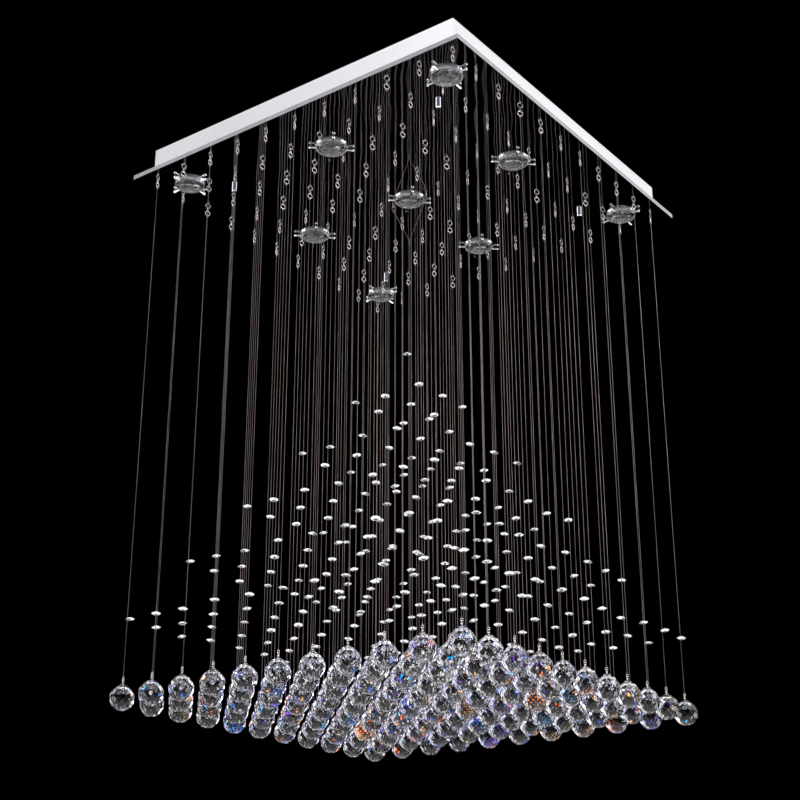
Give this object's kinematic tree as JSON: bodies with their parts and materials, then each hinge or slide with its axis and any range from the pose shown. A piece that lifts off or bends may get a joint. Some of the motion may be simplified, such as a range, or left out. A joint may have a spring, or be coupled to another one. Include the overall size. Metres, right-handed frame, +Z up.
{
  "type": "crystal chandelier",
  "caption": "Square ceiling chandelier: mirror canopy with spot lamps and a square grid of steel wires that carry cut crystal beads in a pyramid and faceted ball drops.",
  "frame": {"origin": "middle of the ceiling plane, the top face of the ceiling box, inside the four ceiling screws", "axes": "+Z up, everything hangs below the origin; X along the rows of strings, Y across them; the vent holes are in the -Y side of the box"},
  "size_m": [0.7, 0.7, 1],
  "materials": {
    "box_chrome": "mirror polished chrome plate on steel",
    "mirror_plate": "mirror polished stainless steel",
    "zinc_steel": "zinc plated steel",
    "bright_chrome": "bright chrome plate",
    "string_steel": "fine stainless wire, faintly warm",
    "black_rubber": "matt rubber",
    "white_plastic": "natural nylon",
    "terminal_brass": "nickel plated brass",
    "white_ceramic": "unglazed steatite",
    "lens_glass": "clear polished glass",
    "reflector_glass": "pressed glass with a bright faceted reflector",
    "bead_crystal": "clear cut crystal",
    "ball_crystal": "clear cut crystal with colour flashes"
  },
  "bodies": {
    "canopy": {"ceiling_pan": "box_chrome", "bottom_plate": "mirror_plate", "threaded_studs": "zinc_steel", "cap_nuts": "bright_chrome", "cable_grommet": "black_rubber", "terminal_block": "white_plastic", "terminal_screws": "terminal_brass", "earth_terminal": "terminal_brass", "lamp_holders": "white_ceramic", "holder_brackets": "zinc_steel", "bracket_screws": "zinc_steel", "lamp_rings": "bright_chrome", "ring_nuts": "zinc_steel", "lamp_lenses": "lens_glass", "thumb_screws": "bright_chrome", "string_eyes": "string_steel"},
    "row_01": {"row_01_wires": "string_steel", "row_01_beads": "bead_crystal", "row_01_balls": "ball_crystal"},
    "row_02": {"row_02_wires": "string_steel", "row_02_beads": "bead_crystal", "row_02_balls": "ball_crystal"},
    "row_03": {"row_03_wires": "string_steel", "row_03_beads": "bead_crystal", "row_03_balls": "ball_crystal"},
    "row_04": {"row_04_wires": "string_steel", "row_04_beads": "bead_crystal", "row_04_balls": "ball_crystal"},
    "row_05": {"row_05_wires": "string_steel", "row_05_beads": "bead_crystal", "row_05_balls": "ball_crystal"},
    "row_06": {"row_06_wires": "string_steel", "row_06_beads": "bead_crystal", "row_06_balls": "ball_crystal", "centre_bridle": "string_steel"},
    "row_07": {"row_07_wires": "string_steel", "row_07_beads": "bead_crystal", "row_07_balls": "ball_crystal"},
    "row_08": {"row_08_wires": "string_steel", "row_08_beads": "bead_crystal", "row_08_balls": "ball_crystal"},
    "row_09": {"row_09_wires": "string_steel", "row_09_beads": "bead_crystal", "row_09_balls": "ball_crystal"},
    "row_10": {"row_10_wires": "string_steel", "row_10_beads": "bead_crystal", "row_10_balls": "ball_crystal"},
    "row_11": {"row_11_wires": "string_steel", "row_11_beads": "bead_crystal", "row_11_balls": "ball_crystal"},
    "bulb_1": {"lamp_bulb_1": "reflector_glass"},
    "bulb_2": {"lamp_bulb_2": "reflector_glass"},
    "bulb_3": {"lamp_bulb_3": "reflector_glass"},
    "bulb_4": {"lamp_bulb_4": "reflector_glass"},
    "bulb_5": {"lamp_bulb_5": "reflector_glass"},
    "bulb_6": {"lamp_bulb_6": "reflector_glass"},
    "bulb_7": {"lamp_bulb_7": "reflector_glass"},
    "bulb_8": {"lamp_bulb_8": "reflector_glass"},
    "bulb_9": {"lamp_bulb_9": "reflector_glass"}
  },
  "joints": [
    {"name": "row_01_sway", "type": "hinge", "parent": "canopy", "child": "row_01", "pos_m": [0, -0.32, -0.0663], "axis": [1, 0, 0], "range_deg": [-5, 5]},
    {"name": "row_02_sway", "type": "hinge", "parent": "canopy", "child": "row_02", "pos_m": [0, -0.256, -0.0663], "axis": [1, 0, 0], "range_deg": [-5, 5]},
    {"name": "row_03_sway", "type": "hinge", "parent": "canopy", "child": "row_03", "pos_m": [0, -0.192, -0.0663], "axis": [1, 0, 0], "range_deg": [-5, 5]},
    {"name": "row_04_sway", "type": "hinge", "parent": "canopy", "child": "row_04", "pos_m": [0, -0.128, -0.0663], "axis": [1, 0, 0], "range_deg": [-5, 5]},
    {"name": "row_05_sway", "type": "hinge", "parent": "canopy", "child": "row_05", "pos_m": [0, -0.064, -0.0663], "axis": [1, 0, 0], "range_deg": [-5, 5]},
    {"name": "row_06_sway", "type": "hinge", "parent": "canopy", "child": "row_06", "pos_m": [0, 0, -0.0663], "axis": [1, 0, 0], "range_deg": [-5, 5]},
    {"name": "row_07_sway", "type": "hinge", "parent": "canopy", "child": "row_07", "pos_m": [0, 0.064, -0.0663], "axis": [1, 0, 0], "range_deg": [-5, 5]},
    {"name": "row_08_sway", "type": "hinge", "parent": "canopy", "child": "row_08", "pos_m": [0, 0.128, -0.0663], "axis": [1, 0, 0], "range_deg": [-5, 5]},
    {"name": "row_09_sway", "type": "hinge", "parent": "canopy", "child": "row_09", "pos_m": [0, 0.192, -0.0663], "axis": [1, 0, 0], "range_deg": [-5, 5]},
    {"name": "row_10_sway", "type": "hinge", "parent": "canopy", "child": "row_10", "pos_m": [0, 0.256, -0.0663], "axis": [1, 0, 0], "range_deg": [-5, 5]},
    {"name": "row_11_sway", "type": "hinge", "parent": "canopy", "child": "row_11", "pos_m": [0, 0.32, -0.0663], "axis": [1, 0, 0], "range_deg": [-5, 5]},
    {"name": "bulb_1_twist", "type": "hinge", "parent": "canopy", "child": "bulb_1", "pos_m": [0.28, 0.28, -0.017], "axis": [0, 0, 1], "range_deg": [-20, 0]},
    {"name": "bulb_2_twist", "type": "hinge", "parent": "canopy", "child": "bulb_2", "pos_m": [0.28, -0.28, -0.017], "axis": [0, 0, 1], "range_deg": [-20, 0]},
    {"name": "bulb_3_twist", "type": "hinge", "parent": "canopy", "child": "bulb_3", "pos_m": [-0.28, -0.28, -0.017], "axis": [0, 0, 1], "range_deg": [-20, 0]},
    {"name": "bulb_4_twist", "type": "hinge", "parent": "canopy", "child": "bulb_4", "pos_m": [-0.28, 0.28, -0.017], "axis": [0, 0, 1], "range_deg": [-20, 0]},
    {"name": "bulb_5_twist", "type": "hinge", "parent": "canopy", "child": "bulb_5", "pos_m": [0.224, 0, -0.017], "axis": [0, 0, 1], "range_deg": [-20, 0]},
    {"name": "bulb_6_twist", "type": "hinge", "parent": "canopy", "child": "bulb_6", "pos_m": [-0.224, 0, -0.017], "axis": [0, 0, 1], "range_deg": [-20, 0]},
    {"name": "bulb_7_twist", "type": "hinge", "parent": "canopy", "child": "bulb_7", "pos_m": [0, 0.224, -0.017], "axis": [0, 0, 1], "range_deg": [-20, 0]},
    {"name": "bulb_8_twist", "type": "hinge", "parent": "canopy", "child": "bulb_8", "pos_m": [0, -0.224, -0.017], "axis": [0, 0, 1], "range_deg": [-20, 0]},
    {"name": "bulb_9_twist", "type": "hinge", "parent": "canopy", "child": "bulb_9", "pos_m": [0, 0, -0.017], "axis": [0, 0, 1], "range_deg": [-20, 0]}
  ],
  "couplings": [
    {"joint": "row_01_sway", "follows": "row_06_sway", "ratio": 1},
    {"joint": "row_02_sway", "follows": "row_06_sway", "ratio": 1},
    {"joint": "row_03_sway", "follows": "row_06_sway", "ratio": 1},
    {"joint": "row_04_sway", "follows": "row_06_sway", "ratio": 1},
    {"joint": "row_05_sway", "follows": "row_06_sway", "ratio": 1},
    {"joint": "row_07_sway", "follows": "row_06_sway", "ratio": 1},
    {"joint": "row_08_sway", "follows": "row_06_sway", "ratio": 1},
    {"joint": "row_09_sway", "follows": "row_06_sway", "ratio": 1},
    {"joint": "row_10_sway", "follows": "row_06_sway", "ratio": 1},
    {"joint": "row_11_sway", "follows": "row_06_sway", "ratio": 1}
  ]
}
